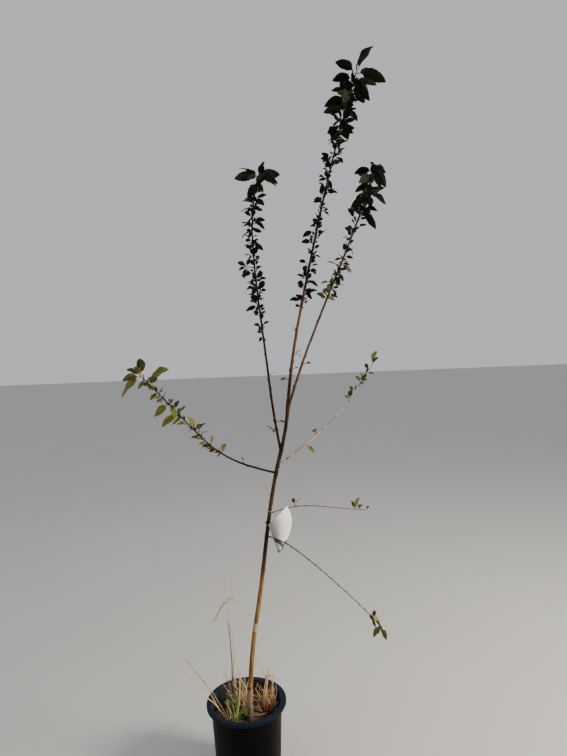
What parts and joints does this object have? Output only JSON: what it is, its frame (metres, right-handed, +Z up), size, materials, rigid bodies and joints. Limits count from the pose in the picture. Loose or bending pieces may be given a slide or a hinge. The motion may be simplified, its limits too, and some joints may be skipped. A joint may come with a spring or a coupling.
{
  "type": "apple sapling in a nursery pot",
  "caption": "Young apple tree with a thin leaning trunk, tall leafy leaders and side boughs, its root ball in a round tapered nursery pot and a curled paper tag tied to the trunk.",
  "frame": {"origin": "middle of the flat underside of the pot, on the surface that it stands on", "axes": "+Z up; the trunk leans towards +X; -Y faces the picture's camera"},
  "size_m": [0.9189, 0.5261, 2.5092],
  "materials": {
    "pot": "satin black plastic, scuffed",
    "potting_mix": "dark crumbly potting mix",
    "bark": "smooth brown bark with pale pores",
    "young_bark": "thin reddish bark",
    "leaf": "dark green leaves, some red-brown or yellow",
    "tag": "matte off-white paper",
    "thread": "pale twisted thread",
    "straw": "dry straw",
    "weed": "small bright green leaves"
  },
  "bodies": {
    "root": {"pot": "pot", "root_ball": "potting_mix", "trunk": "bark", "centre_leader": "bark", "left_leader": "bark", "right_leader": "bark", "left_side_bough": "bark", "right_side_bough": "bark", "low_twig": "young_bark", "drooping_twig": "young_bark", "centre_foliage": "leaf", "left_foliage": "leaf", "right_foliage": "leaf", "left_side_foliage": "leaf", "right_side_foliage": "leaf", "low_twig_foliage": "leaf", "drooping_twig_foliage": "leaf", "tuft_1": "leaf", "tuft_2": "leaf", "tuft_3": "leaf", "tuft_4": "leaf", "tuft_5": "leaf", "tuft_6": "leaf", "tuft_7": "leaf", "tuft_8": "leaf", "tuft_9": "leaf", "tuft_10": "leaf", "tuft_11": "leaf", "tag": "tag", "tag_thread": "thread", "dry_grass_left": "straw", "dry_grass_right": "straw", "dry_grass_front": "straw", "pot_weeds": "weed"}
  },
  "joints": []
}
